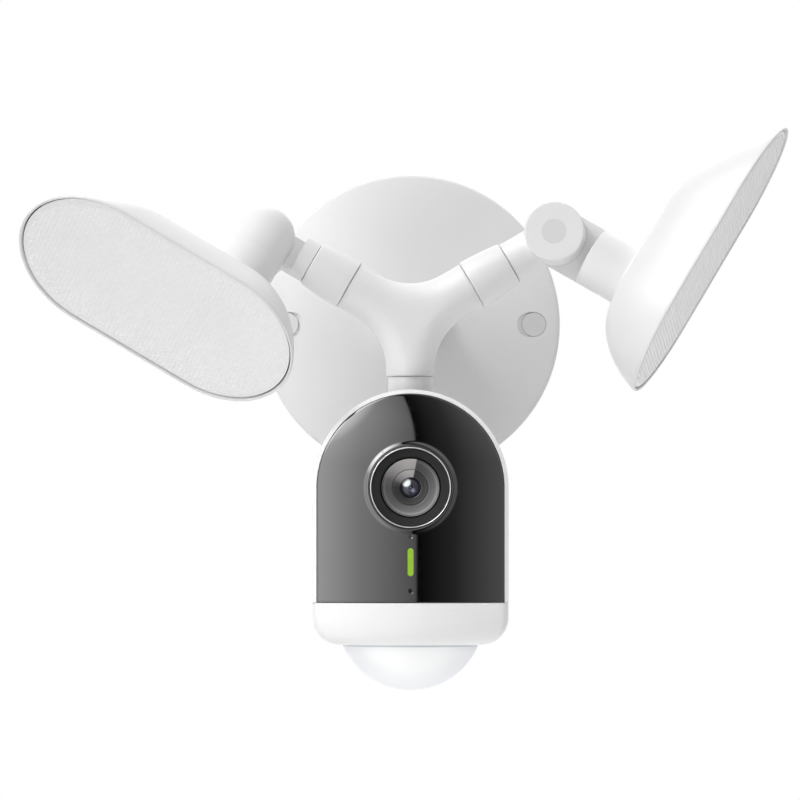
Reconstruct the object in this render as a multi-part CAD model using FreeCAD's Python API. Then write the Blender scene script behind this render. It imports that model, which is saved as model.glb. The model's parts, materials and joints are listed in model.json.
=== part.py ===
import FreeCAD, Part
import math
import os
from FreeCAD import Vector

# A wall-mounted floodlight camera. Millimetres. +Z is up, +Y points into the wall, -Y is the front.
# The origin is the centre of the wall side of the round canopy.

# ---- driving dimensions -------------------------------------------------------------------------
FIT = 0.08                      # radial running clearance of a shaft in its hole
SEAM = 0.15                     # visible seam between two turning pieces
GAP = 0.3                       # general clearance between pieces of different bodies

# canopy
CANOPY_R = 69.0
CANOPY_SKIRT = 9.0              # depth of the straight rim
CANOPY_DEPTH = 24.0             # depth at the centre of the dome
CANOPY_WALL = 3.0
GASKET_THICK = 2.0
GASKET_WIDE = 4.5
CAP_X = 57.0                    # screw caps, from the centre line
CAP_R = 5.5
CAP_SLOT_RUN = 2.3              # how far each cap's slot runs on towards the centre
CAP_SLOT_DEEP = 1.3
CAP_RECESS = 0.15               # the caps follow the dome, a little below it
BRACKET_LENGTH, BRACKET_HEIGHT, BRACKET_THICK = 126.0, 22.0, 2.0
BOX_SLOT_X = 40.0               # slot centres for the junction box screws
BOX_SLOT_LENGTH = 16.0
BOX_SLOT_R = 2.3
CANOPY_SCREW_R = 2.2
CANOPY_ROUND = 2.5              # rounding between the skirt and the dome
BOSS_R = 8.0
POST_R = 3.0
CAP_POCKET_R = CAP_R + 0.12
CAP_SEAT_Y = -8.2
CAP_BACK_Y = -10.8
PAD_Y = -CANOPY_DEPTH - 1.5     # flat pad that the stem's flange sits on
NUT_CORNER_R = 12.5
NUT_THICK = 5.0
DOME_RISE = CANOPY_DEPTH - CANOPY_SKIRT
DOME_R = (CANOPY_R ** 2 + DOME_RISE ** 2) / (2 * DOME_RISE)
DOME_CENTRE = Vector(0, DOME_R - CANOPY_DEPTH, 0)
GROUND_X, GROUND_R = 14.0, 2.0

# lamp driver and wiring in the canopy
BOARD_THICK = 1.6
BOARD_Y = 6.0                   # wall side of the driver board, in front of the wall
BOARD_LOW_Z, BOARD_HIGH_Z, BOARD_HALF = 16.0, 50.0, 28.0
BOARD_POSTS = [(x, z) for x in (-24.0, 24.0) for z in (19.5, 46.5)]
TERMINAL_FRONT_Y, TERMINAL_Z = -14.0, -37.5
TERMINAL_HALF, TERMINAL_HALF_HIGH, TERMINAL_DEEP = 12.0, 4.5, 9.0
TERMINAL_PITCH, TERMINAL_BORE = 8.0, 2.4

# three-way arm body
ARM_PLANE_Y = -85.0
LEG_R = 10.9
LEG_END = 31.8                  # upper legs, from the hub
LOWER_LEG_END = 25.2
WEB_PATH_R = 38.5               # path radius of the bend that joins two legs
LEG_ANGLES = (30.0, 150.0, 270.0)
HUB_PAD_R, HUB_PAD_ROUND, HUB_PAD_SUNK = 8.5, 3.0, 0.15     # fills the dip between the webs
WIRE_R = 4.5
STEM_R = 11.0
STEM_FLANGE_R = 16.0
STEM_THREAD_R = 8.0
HUB = Vector(0, ARM_PLANE_Y, 0)
SNAP_Z, SNAP_THICK = -18.0, 1.0  # snap ring that holds the camera neck

# arm unit, distances along the arm from the hub
COLLAR_END = 51.4
COLLAR_R_IN, COLLAR_R_OUT = 11.5, 10.2
PIN_AT = 75.7                   # knuckle pin
ARM_R = 9.5
ARM_SHOULDER = 17.5             # from the pin back to the step of the half lap
KNUCKLE_R = 13.5
NOSE_R = 8.2                    # nose of the leg under the collar
NOSE_END = 43.0
SPIGOT_R = 5.6
FLANGE_THICK = 3.0
PIVOT_R = 3.0
PIVOT_CAP_R = 5.5
PIVOT_CAP_SEAT = 11.2           # underside of the cap, from the half lap
ORING_AT, ORING_R = 38.0, 0.6
WASHER_R, WASHER_THICK = 8.0, 0.8
INSERT_R, INSERT_DEEP = 4.5, 10.0

# lamp unit, distances from the knuckle pin along the neck
NECK_SHOULDER = 18.5
LAMP_FACE = 66.2
LAMP_DEPTH = 28.4
LAMP_BAND = 0.8                 # straight band at the rim of the face
LAMP_SHORT, LAMP_LONG = -42.8, 94.0
LAMP_HALF = 39.6
LAMP_WALL = 2.4
LAMP_RIM = 1.2
DIFFUSER_THICK = 1.0
DIFFUSER_SEAT = 1.6
DIFFUSER_GROOVE = 0.35
# how far the bowl draws in at its back, and how straight its wall is, for each side
DRAW_SHORT, DRAW_LONG, DRAW_SIDE = (27.0, 0.30), (45.0, 0.60), (25.0, 0.44)
LAMP_BACK = LAMP_FACE - LAMP_DEPTH
LED_PLATE_AT, LED_PLATE_THICK = LAMP_FACE - 9.5, 1.5
LED_POSTS = [(y, z) for y in (-8.0, 42.0) for z in (-10.0, 10.0)]
LED_POST_R, LED_SCREW_R = 3.0, 1.2
LED_SIDE, LED_HIGH, LED_PITCH = 3.5, 0.8, 15

# how the two light units are turned: arm swivel and knuckle bend, in degrees
LIGHTS = {"right": (30.0, -10.1, 60.4), "left": (150.0, -138.9, 89.1)}

# camera head
HEAD_R = 43.8                   # half width, and radius of the arched top
LENS_Z = -75.1                  # centre of the arch and of the lens
SEAM_Z = -126.4
COVER_BOTTOM_Z = -145.5
HEAD_RIM_Y = -111.0             # plane of the front rim
HEAD_BACK_Y = -87.0             # where the rounded back begins
FRONT_R = 105.0                 # curve of the front panel
HEAD_WALL = 2.8
PANEL_RIM = 1.8
PANEL_THICK = 2.4
PIR_R, PIR_DEPTH = 30.8, 20.8
TILT_Z = -50.0
NECK_R = 10.05
POCKET_FRONT, POCKET_BACK = 5.5, 12.0    # run of the neck slot before and behind the neck
TILT_PIN_R = 2.5
LENS_R = 17.9
STATUS_Z, STATUS_HALF, STATUS_R = -108.3, 6.25, 1.32
SENSOR_Z, SENSOR_R = -96.9, 0.7
MIC_Z, MIC_R = -121.1, 0.9
PIR_AXIS = Vector(0, -83.0, 0)
ROUND_X, ROUND_Y, ROUND_Z = 12.2, 5.8, 12.8     # lower rounding of the bottom cover
POCKET_HALF = NECK_R + 0.55
POCKET_FLOOR = TILT_Z - NECK_R - 1.0
SPEAKER = Vector(0, HEAD_BACK_Y + HEAD_R, -108.0)
GRILLE_R, GRILLE_PITCH = 0.9, 4.0
BUTTON = Vector(0, HEAD_BACK_Y + HEAD_R, -84.0)
BUTTON_R, BUTTON_LONG = 3.0, 7.2
LENS = Vector(0, 0, LENS_Z)
TILT = Vector(0, ARM_PLANE_Y, TILT_Z)
FRONT_SAG = FRONT_R - math.sqrt(FRONT_R ** 2 - HEAD_R ** 2)
FRONT_Y = HEAD_RIM_Y - FRONT_SAG
FRONT_AXIS = FRONT_Y + FRONT_R
SENSOR_BOARD_Y = FRONT_Y + 14.05
MAIN_BOARD_Y = SENSOR_BOARD_Y + 8.0

X, Y, Z = Vector(1, 0, 0), Vector(0, 1, 0), Vector(0, 0, 1)


# ---- helpers ------------------------------------------------------------------------------------
def write(name, shape):
    shape.exportStep("parts/%s.step" % name)


def rod(start, direction, radius, length):
    return Part.makeCylinder(radius, length, start, direction)


def tube(start, direction, radius, bore, length):
    return rod(start, direction, radius, length).cut(rod(start, direction, bore, length))


def block(low, high):
    size = high - low
    return Part.makeBox(size.x, size.y, size.z, low)


def join(shapes):
    first, rest = shapes[0], shapes[1:]
    return first.fuse(rest).removeSplitter() if rest else first


def group(shapes):
    return Part.makeCompound(shapes)


def turned(profile):
    """A body turned about the X axis from (along, radius) points."""
    points = [Vector(along, radius, 0) for along, radius in profile]
    face = Part.Face(Part.makePolygon(points + points[:1]))
    return face.revolve(Vector(), X, 360)


def along_y(shape):
    """A body made along +X, laid along +Y."""
    return shape.rotate(Vector(), Z, 90)


def stadium(x, low, high, half):
    """A stadium outline across X, from low to high along Y, 2 * half wide along Z."""
    def at(y, z):
        return Vector(x, y, z)
    start, end = low + half, high - half
    edges = [
        Part.Arc(at(start, -half), at(low, 0), at(start, half)).toShape(),
        Part.LineSegment(at(start, half), at(end, half)).toShape(),
        Part.Arc(at(end, half), at(high, 0), at(end, -half)).toShape(),
        Part.LineSegment(at(end, -half), at(start, -half)).toShape(),
    ]
    return Part.Wire(edges)


def stadium_plate(x, thick, low, high, half):
    return Part.Face(stadium(x, low, high, half)).extrude(X * thick)


def placed(shape, origin, x_axis, z_axis):
    """A shape made in its own frame, put at origin with its X and Z axes as given."""
    y_axis = z_axis.cross(x_axis)
    matrix = FreeCAD.Matrix(
        x_axis.x, y_axis.x, z_axis.x, origin.x,
        x_axis.y, y_axis.y, z_axis.y, origin.y,
        x_axis.z, y_axis.z, z_axis.z, origin.z,
        0, 0, 0, 1,
    )
    moved = shape.copy()
    moved.Placement = FreeCAD.Placement(matrix)
    return moved


def leg_direction(angle):
    turn = math.radians(angle)
    return Vector(math.cos(turn), 0, math.sin(turn))


# ---- canopy and wall fixing ---------------------------------------------------------------------
def dome(radius, depth, sphere_r):
    """The solid under a domed disc, open towards the wall."""
    drum = rod(Vector(0, 0, 0), -Y, radius, depth)
    return drum.common(Part.makeSphere(sphere_r, DOME_CENTRE))


def make_canopy():
    outside = dome(CANOPY_R, CANOPY_DEPTH, DOME_R)
    rim = [e for e in outside.Edges if abs(e.BoundBox.YMin + CANOPY_SKIRT) < 0.01
           and abs(e.BoundBox.YMax + CANOPY_SKIRT) < 0.01]
    outside = outside.makeFillet(CANOPY_ROUND, rim)
    inside = dome(CANOPY_R - CANOPY_WALL, CANOPY_DEPTH, DOME_R - CANOPY_WALL)
    bosses = [rod(Vector(side * CAP_X, -BRACKET_THICK - 0.1, 0), -Y, BOSS_R, CANOPY_DEPTH)
              for side in (-1, 1)]
    posts = [rod(Vector(x, -BOARD_Y - BOARD_THICK, z), -Y, POST_R, CANOPY_DEPTH)
             for x, z in BOARD_POSTS]
    posts.append(rod(Vector(0, TERMINAL_FRONT_Y, TERMINAL_Z), -Y, POST_R + 1, CANOPY_DEPTH))
    body = outside.cut(inside).fuse([f.common(outside) for f in bosses + posts])
    pad_back = Vector(0, -CANOPY_DEPTH + CANOPY_WALL, 0)
    body = body.fuse(rod(pad_back, -Y, STEM_FLANGE_R + 1.5, pad_back.y - PAD_Y))
    nut_seat = rod(pad_back, Y, NUT_CORNER_R + 1, NUT_THICK + 3)
    cuts = [rod(Vector(), -Y, STEM_THREAD_R + GAP, CANOPY_DEPTH + 16), nut_seat]
    for side in (-1, 1):
        top = Vector(side * CAP_X, CAP_SEAT_Y, 0)
        inboard = Vector(side * (CAP_X - CAP_SLOT_RUN), CAP_SEAT_Y, 0)
        width = CAP_POCKET_R
        low = Vector(min(top.x, inboard.x), CAP_SEAT_Y - 20, -width)
        high = Vector(max(top.x, inboard.x), CAP_SEAT_Y, width)
        slot = rod(inboard, -Y, width, 20).fuse(block(low, high))
        cuts.append(slot.cut(Part.makeSphere(DOME_R - CAP_SLOT_DEEP, DOME_CENTRE)))
        cuts.append(rod(top, -Y, width, 20))
        cuts.append(rod(Vector(side * CAP_X, 0, 0), -Y, CANOPY_SCREW_R + 0.2, 20))
    body = body.cut(cuts)
    return body.cut(rod(Vector(), -Y, CANOPY_R + 1, GASKET_THICK))


def make_bracket():
    low = Vector(-BRACKET_LENGTH / 2, -BRACKET_THICK, -BRACKET_HEIGHT / 2)
    high = Vector(BRACKET_LENGTH / 2, 0, BRACKET_HEIGHT / 2)
    bar = block(low, high)
    uprights = [e for e in bar.Edges if abs(e.BoundBox.YLength - BRACKET_THICK) < 0.01]
    bar = bar.makeFillet(4.0, uprights)
    half_run = BOX_SLOT_LENGTH / 2 - BOX_SLOT_R
    cuts = []
    for side in (-1, 1):
        for run in (-half_run, half_run):
            cuts.append(rod(Vector(side * BOX_SLOT_X + run, 1, 0), -Y, BOX_SLOT_R, 4))
        cuts.append(block(Vector(side * BOX_SLOT_X - half_run, -3, -BOX_SLOT_R),
                          Vector(side * BOX_SLOT_X + half_run, 1, BOX_SLOT_R)))
        cuts.append(rod(Vector(side * CAP_X, 1, 0), -Y, CANOPY_SCREW_R, 4))
    cuts.append(rod(Vector(GROUND_X, 1, 0), -Y, GROUND_R, 4))
    return bar.cut(cuts)


def pan_head_screw(seat, direction, shank_r, shank, head_r, head):
    """A cross-slotted screw. seat is the middle of the head's underside, direction the shank's."""
    body = rod(seat, direction, shank_r, shank)
    top = rod(seat - direction * head, direction, head_r, head)
    side = direction.cross(Z)
    slot_half, slot_deep = head_r * 0.55, head * 0.5
    cuts = []
    for a, b in ((slot_half, head_r * 0.14), (head_r * 0.14, slot_half)):
        corner = seat - direction * head - side * a - Z * b
        face = Part.Face(Part.makePolygon([corner, corner + side * 2 * a, corner + side * 2 * a + Z * 2 * b,
                                           corner + Z * 2 * b, corner]))
        cuts.append(face.extrude(direction * slot_deep))
    return body.fuse(top.cut(cuts)).removeSplitter()


def make_driver_components():
    back = -BOARD_Y - BOARD_THICK

    def box_on_board(x, z, half_wide, half_high, tall):
        return block(Vector(x - half_wide, back - tall, z - half_high),
                     Vector(x + half_wide, back, z + half_high))

    transformer = box_on_board(-1, 30, 8, 7, 8.5)
    bridge = box_on_board(14, 30, 4, 4, 5)
    controller = box_on_board(-15.5, 41, 3.5, 3, 4)
    capacitors = [rod(Vector(x, back, z), -Y, radius, tall)
                  for x, z, radius, tall in ((-16, 27, 4.0, 7.5), (13, 40, 3.0, 4.5), (0, 43, 2.5, 4.0))]
    return group([transformer, bridge, controller] + capacitors)


def make_base():
    write("canopy", make_canopy())
    write("wall_gasket", tube(Vector(), -Y, CANOPY_R, CANOPY_R - GASKET_WIDE, GASKET_THICK))
    write("mounting_bracket", make_bracket())
    screws, caps = [], []
    for side in (-1, 1):
        seat = Vector(side * CAP_X, CAP_SEAT_Y, 0)
        screws.append(pan_head_screw(seat, Y, CANOPY_SCREW_R, -CAP_SEAT_Y, 4.0, 2.2))
        cap = rod(Vector(side * CAP_X, CAP_BACK_Y, 0), -Y, CAP_R, CANOPY_DEPTH)
        caps.append(cap.common(Part.makeSphere(DOME_R - CAP_RECESS, DOME_CENTRE)))
    write("canopy_screws", group(screws))
    write("screw_caps", group(caps))
    write("driver_board", block(Vector(-BOARD_HALF, -BOARD_Y - BOARD_THICK, BOARD_LOW_Z),
                                Vector(BOARD_HALF, -BOARD_Y, BOARD_HIGH_Z)))
    write("driver_components", make_driver_components())
    terminal = block(Vector(-TERMINAL_HALF, TERMINAL_FRONT_Y, TERMINAL_Z - TERMINAL_HALF_HIGH),
                     Vector(TERMINAL_HALF, TERMINAL_FRONT_Y + TERMINAL_DEEP, TERMINAL_Z + TERMINAL_HALF_HIGH))
    holes = [rod(Vector(x * TERMINAL_PITCH, TERMINAL_FRONT_Y + TERMINAL_DEEP + 2, TERMINAL_Z), -Y,
                 TERMINAL_BORE, TERMINAL_DEEP - 2) for x in (-1, 0, 1)]
    write("terminal_block", terminal.cut(holes))
    ground_seat = Vector(GROUND_X, -BRACKET_THICK, 0)
    write("ground_screw", pan_head_screw(ground_seat, Y, GROUND_R, BRACKET_THICK, 3.8, 2.0))
    nut = Part.Face(Part.makePolygon([
        leg_direction(turn) * NUT_CORNER_R - Y * (CANOPY_DEPTH - CANOPY_WALL)
        for turn in range(0, 361, 60)])).extrude(Y * NUT_THICK)
    write("stem_nut", nut.cut(rod(Vector(0, -30, 0), Y, STEM_THREAD_R, 30)))
    write("y_body", make_y_body())
    ring_start = Vector(0, ARM_PLANE_Y, SNAP_Z)
    write("neck_snap_ring", tube(ring_start, Z, SPIGOT_R + 1.1, SPIGOT_R - 0.4, SNAP_THICK))


def web(first, second):
    """The part of the arm body between two legs: a bent tube, cut at both legs' middle planes."""
    one, two = leg_direction(first), leg_direction(second)
    middle = (one + two).normalize()
    centre = HUB + middle * (WEB_PATH_R / math.sin(math.radians(60)))
    run = WEB_PATH_R / math.tan(math.radians(60))
    ring = Part.makeTorus(WEB_PATH_R, LEG_R, centre, Y)
    corners = [HUB, HUB + one * run, centre, HUB + two * run, HUB]
    front = Vector(0, -LEG_R - 1, 0)
    wedge = Part.Face(Part.makePolygon([c + front for c in corners])).extrude(Y * (2 * LEG_R + 2))
    return ring.common(wedge)


def make_y_body():
    run = WEB_PATH_R / math.tan(math.radians(60))
    pieces = [web(a, b) for a, b in zip(LEG_ANGLES, LEG_ANGLES[1:] + LEG_ANGLES[:1])]
    for angle in LEG_ANGLES:
        out = leg_direction(angle)
        end = LOWER_LEG_END if angle == 270.0 else LEG_END
        pieces.append(rod(HUB + out * run, out, LEG_R, end - run))
        if end == LEG_END:
            pieces.append(rod(HUB + out * (LEG_END - 1), out, NOSE_R, NOSE_END - LEG_END + 1))
    pad_front = HUB - Y * (LEG_R - HUB_PAD_SUNK)
    pad = rod(pad_front, Y, HUB_PAD_R, LEG_R)
    rim = [e for e in pad.Edges if abs(e.BoundBox.YMax - pad_front.y) < 0.01]
    pieces.append(pad.makeFillet(HUB_PAD_ROUND, rim))
    back = -ARM_PLANE_Y
    stem = turned([(4, 0), (4, STEM_R), (back + PAD_Y - 7, STEM_R), (back + PAD_Y - 2.5, STEM_FLANGE_R),
                   (back + PAD_Y, STEM_FLANGE_R), (back + PAD_Y, STEM_THREAD_R),
                   (back - 13, STEM_THREAD_R), (back - 13, 0)])
    pieces.append(along_y(stem).translate(HUB))
    body = join(pieces)
    cuts = [rod(HUB, Y, WIRE_R, 90)]
    for angle in LEG_ANGLES:
        out = leg_direction(angle)
        cuts.append(rod(HUB, out, WIRE_R, 50))
        if angle == 270.0:
            cuts.append(rod(HUB + out * 11, out, SPIGOT_R + FIT, 30))
            ring = tube(Vector(0, ARM_PLANE_Y, SNAP_Z - 0.1), Z, SPIGOT_R + 1.3, 1.0, SNAP_THICK + 0.2)
            cuts.append(ring)
        else:
            cuts.append(rod(HUB + out * 33, out, SPIGOT_R + FIT, 30))
    return body.cut(cuts)


# ---- light units --------------------------------------------------------------------------------
def make_collar():
    """A hollow sleeve that curves in towards the arm."""
    start, end, edge, steps = LEG_END + SEAM, COLLAR_END - SEAM, 0.3, 6
    lip = NOSE_END + FLANGE_THICK + 0.8
    outside = [(start + edge + (end - start - 2 * edge) * k / steps,
                COLLAR_R_IN - (COLLAR_R_IN - COLLAR_R_OUT) * (k / steps) ** 2) for k in range(steps + 1)]
    return turned([(start, NOSE_R + GAP), (start, COLLAR_R_IN - edge)] + outside
                  + [(end, COLLAR_R_OUT - edge), (end, SPIGOT_R + 1.9), (lip, SPIGOT_R + 1.9),
                     (lip, NOSE_R + GAP)])


def make_arm():
    """From the hub: spigot, flange under the collar, round tube, half-lap knuckle disc."""
    flange = NOSE_END + 0.4
    after = flange + FLANGE_THICK
    shaft = turned([(34.5, 0), (34.5, SPIGOT_R), (ORING_AT - 0.7, SPIGOT_R), (ORING_AT - 0.7, SPIGOT_R - 1.3),
                    (ORING_AT + 0.7, SPIGOT_R - 1.3), (ORING_AT + 0.7, SPIGOT_R), (flange, SPIGOT_R),
                    (flange, NOSE_R), (after, NOSE_R), (after, SPIGOT_R + 1.5),
                    (COLLAR_END + 0.1, SPIGOT_R + 1.5), (COLLAR_END + 0.1, 0)])
    start = Vector(COLLAR_END + SEAM, 0, 0)
    whole = rod(start, X, ARM_R, PIN_AT - ARM_SHOULDER - start.x)
    half = rod(start, X, ARM_R, PIN_AT - start.x).common(
        block(Vector(0, -20, 0.05), Vector(PIN_AT, 20, 20)))
    disc = rod(Vector(PIN_AT, 0, 0.05), Z, KNUCKLE_R, KNUCKLE_R - 0.05)
    rim = [e for e in disc.Edges if e.BoundBox.ZMin > KNUCKLE_R - 0.01]
    disc = disc.makeFillet(0.7, rim)
    body = join([shaft, whole.fuse(rod(start - X * 0.5, X, SPIGOT_R + 1.5, 1)), half, disc])
    pin = Vector(PIN_AT, 0, 0)
    cuts = [rod(Vector(34, 0, 0), X, 3.2, 22), rod(pin, Z, PIVOT_R + FIT, 20),
            rod(pin + Z * 7.5, Z, PIVOT_CAP_R, 20), rod(pin, Z, WASHER_R + 0.3, WASHER_THICK / 2)]
    return body.cut(cuts)


def bowl(back, face, band, margin):
    """The lamp's bowl-shaped outside, or with a margin its inside, lofted along the neck axis."""
    depth = face - band - back
    (short, k_short), (long, k_long), (side, k_side) = DRAW_SHORT, DRAW_LONG, DRAW_SIDE

    def draw(amount, straight, f):
        return amount * (straight * f + (1 - straight) * (1 - math.sqrt(1 - f * f)))

    sections = []
    for step in (0, 14, 28, 42, 56, 70, 81, 90):
        f = math.sin(math.radians(step))
        low = LAMP_SHORT + margin + draw(short, k_short, f)
        high = LAMP_LONG - margin - draw(long, k_long, f)
        half = LAMP_HALF - margin - draw(side, k_side, f)
        sections.append(stadium(face - band - depth * f, low, high, half))
    solid = Part.makeLoft(sections, True, False)
    rim = stadium_plate(face - band, band, LAMP_SHORT + margin, LAMP_LONG - margin, LAMP_HALF - margin)
    return solid.fuse(rim)


def make_lamp_housing():
    cavity = bowl(LAMP_BACK + LAMP_WALL, LAMP_FACE - DIFFUSER_SEAT, 0.01, LAMP_WALL + 0.4)
    shell = bowl(LAMP_BACK, LAMP_FACE, LAMP_BAND, 0).cut(cavity)
    seat = stadium_plate(LAMP_FACE - DIFFUSER_SEAT, 5, LAMP_SHORT + LAMP_RIM, LAMP_LONG - LAMP_RIM,
                         LAMP_HALF - LAMP_RIM)
    shell = shell.cut(seat)
    neck = rod(X * NECK_SHOULDER, X, KNUCKLE_R, LAMP_BACK + 1.0 - NECK_SHOULDER)
    lower = block(Vector(-20, -20, -20), Vector(NECK_SHOULDER + 1, 20, -0.05))
    thumb = rod(Vector(), X, KNUCKLE_R, NECK_SHOULDER + 1).fuse(Part.makeSphere(KNUCKLE_R)).common(lower)
    posts = [rod(Vector(LAMP_BACK + 1, y, z), X, LED_POST_R, LED_PLATE_AT - LAMP_BACK - 1)
             for y, z in LED_POSTS]
    body = join([shell, neck, thumb] + posts)
    cuts = [rod(X * (NECK_SHOULDER + 3), X, 6.0, LAMP_DEPTH + 12).common(
                block(Vector(0, -20, -20), Vector(LAMP_BACK + 6, 20, 20))),
            rod(Z * -INSERT_DEEP, Z, INSERT_R, INSERT_DEEP),
            rod(Z * (-WASHER_THICK / 2), Z, WASHER_R + 0.3, 1)]
    cuts += [rod(Vector(LED_PLATE_AT - 8, y, z), X, LED_SCREW_R, 10) for y, z in LED_POSTS]
    return body.cut(cuts)


def make_light_parts():
    """Every piece of one light unit, in the frame of its arm or of its lamp."""
    pin = Vector(PIN_AT, 0, 0)
    arm = {
        "arm": make_arm(),
        "arm_oring": Part.makeTorus(SPIGOT_R - 0.65, ORING_R, Vector(ORING_AT, 0, 0), X),
        "tilt_washer": tube(pin - Z * (WASHER_THICK / 2 - 0.02), Z, WASHER_R, PIVOT_R + FIT,
                            WASHER_THICK - 0.04),
        "pivot_cap": rod(pin + Z * PIVOT_CAP_SEAT, Z, PIVOT_CAP_R, KNUCKLE_R - PIVOT_CAP_SEAT),
    }
    thread, head_from, head_r, head = 9.0, 7.6, 5.0, 3.3
    bolt = rod(Z * -thread, Z, PIVOT_R, thread + head_from).fuse(rod(Z * head_from, Z, head_r, head))
    socket = Part.Face(Part.makePolygon([
        Vector(2.3 * math.cos(math.radians(a)), 2.3 * math.sin(math.radians(a)), 8.9)
        for a in range(0, 361, 60)])).extrude(Z * 3)
    insert = rod(Z * -INSERT_DEEP, Z, INSERT_R, INSERT_DEEP - 0.4).cut(rod(Z * -thread, Z, PIVOT_R, 12))
    ledge = LAMP_FACE - DIFFUSER_SEAT
    seat = (LAMP_SHORT + LAMP_RIM, LAMP_LONG - LAMP_RIM, LAMP_HALF - LAMP_RIM)
    low, high, half = seat[0] + DIFFUSER_GROOVE, seat[1] - DIFFUSER_GROOVE, seat[2] - DIFFUSER_GROOVE
    gasket_thick = DIFFUSER_SEAT - DIFFUSER_THICK - 0.2
    gasket = stadium_plate(ledge, gasket_thick, low, high, half)
    inner = 1.0
    gasket = gasket.cut(stadium_plate(ledge, gasket_thick, low + inner, high - inner, half - inner))
    plate = stadium_plate(LED_PLATE_AT, LED_PLATE_THICK, LAMP_SHORT + 9, LAMP_LONG - 15, LAMP_HALF - 10)
    plate = plate.cut([rod(Vector(LED_PLATE_AT - 1, y, z), X, LED_SCREW_R + GAP, 4) for y, z in LED_POSTS])
    top = LED_PLATE_AT + LED_PLATE_THICK
    chips = [block(Vector(top, y - LED_SIDE / 2, z - LED_SIDE / 2),
                   Vector(top + LED_HIGH, y + LED_SIDE / 2, z + LED_SIDE / 2))
             for y in range(-22, 72, LED_PITCH) for z in (-19, 0, 19)]
    screws = []
    for y, z in LED_POSTS:
        shank = rod(Vector(top - 7, y, z), X, LED_SCREW_R, 7.2)
        screws.append(shank.fuse(rod(Vector(top, y, z), X, 2 * LED_SCREW_R, 1.4)))
    lamp = {
        "lamp_housing": make_lamp_housing(),
        "lamp_gasket": gasket,
        "diffuser": stadium_plate(ledge + gasket_thick, DIFFUSER_THICK, low, high, half),
        "led_board": plate,
        "led_chips": group(chips),
        "led_screws": group(screws),
        "pivot_bolt": bolt.cut(socket),
        "pivot_insert": insert,
    }
    return arm, lamp


def make_lights():
    arm_parts, lamp_parts = make_light_parts()
    collar = make_collar()
    for side, (angle, swivel, bend) in LIGHTS.items():
        out = leg_direction(angle)
        turn, fold = math.radians(swivel), math.radians(bend)
        pin_axis = -Y * math.cos(turn) + out.cross(-Y) * math.sin(turn)
        neck = out * math.cos(fold) + out.cross(pin_axis) * math.sin(fold)
        write(side + "_collar", placed(collar, HUB, out, pin_axis))
        for name, shape in arm_parts.items():
            write(side + "_" + name, placed(shape, HUB, out, pin_axis))
        for name, shape in lamp_parts.items():
            write(side + "_" + name, placed(shape, HUB + out * PIN_AT, neck, pin_axis))


# ---- camera head --------------------------------------------------------------------------------
def arch(half_width, bottom, start_y, depth):
    """An arched slab: straight sides below the lens axis, half round above it."""
    def at(x, z):
        return Vector(x, start_y, z)
    edges = [
        Part.LineSegment(at(-half_width, bottom), at(-half_width, LENS_Z)).toShape(),
        Part.Arc(at(-half_width, LENS_Z), at(0, LENS_Z + half_width), at(half_width, LENS_Z)).toShape(),
        Part.LineSegment(at(half_width, LENS_Z), at(half_width, bottom)).toShape(),
        Part.LineSegment(at(half_width, bottom), at(-half_width, bottom)).toShape(),
    ]
    return Part.Face(Part.Wire(edges)).extrude(Y * depth)


def front_body(radius):
    """Everything behind the curved front: upright and round below the lens axis, a ball above it."""
    centre = Vector(0, FRONT_AXIS, LENS_Z)
    ball = Part.makeSphere(radius, centre)
    top = ball.common(block(Vector(-150, -300, LENS_Z), Vector(150, 150, LENS_Z + 150)))
    return top.fuse(rod(centre, -Z, radius, 100))


def head_body(radius, bottom):
    """The arched front half and the capsule-shaped back half."""
    slab = arch(radius, bottom, HEAD_RIM_Y - 15, HEAD_BACK_Y - HEAD_RIM_Y + 15)
    centre = Vector(0, HEAD_BACK_Y, LENS_Z)
    back = Part.makeSphere(radius, centre).fuse(rod(centre, -Z, radius, LENS_Z - bottom))
    keep = block(Vector(-60, HEAD_BACK_Y, bottom), Vector(60, 0, 0))
    return slab.fuse(back.common(keep))


def obround_up(front, back, half, low, high):
    """An upright block with round ends, run from front to back about the neck's axis."""
    y0, y1 = ARM_PLANE_Y - front, ARM_PLANE_Y + back
    ends = [rod(Vector(0, y, low), Z, half, high - low) for y in (y0, y1)]
    return join([block(Vector(-half, y0, low), Vector(half, y1, high))] + ends)


def make_head_housing():
    outside = head_body(HEAD_R, SEAM_Z).common(front_body(FRONT_R))
    inside = head_body(HEAD_R - HEAD_WALL, SEAM_Z - 1).common(front_body(FRONT_R + 10))
    seat = arch(HEAD_R - PANEL_RIM, SEAM_Z - 1, HEAD_RIM_Y - 15, 40)
    seat = seat.cut(front_body(FRONT_R - PANEL_THICK - 0.6))
    shell = outside.cut([inside, seat])
    pocket = obround_up(POCKET_FRONT, POCKET_BACK, POCKET_HALF + 2, POCKET_FLOOR - 2, 0).common(outside)
    bosses = rod(TILT - X * 15, X, 5.0, 30)
    body = shell.fuse([pocket, bosses]).cut([
        obround_up(POCKET_FRONT, POCKET_BACK, POCKET_HALF, POCKET_FLOOR, 0),
        rod(TILT - X * 14, X, TILT_PIN_R, 28),
        rod(BUTTON - Y * 10, Y, BUTTON_R + 0.3, 20),
    ])
    grille = [rod(SPEAKER + (X * dx + Z * dz) * GRILLE_PITCH - Y * 12, Y, GRILLE_R, 24)
              for dx in range(-2, 3) for dz in range(-2, 3) if dx * dx + dz * dz < 6]
    return body.cut(grille)


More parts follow.
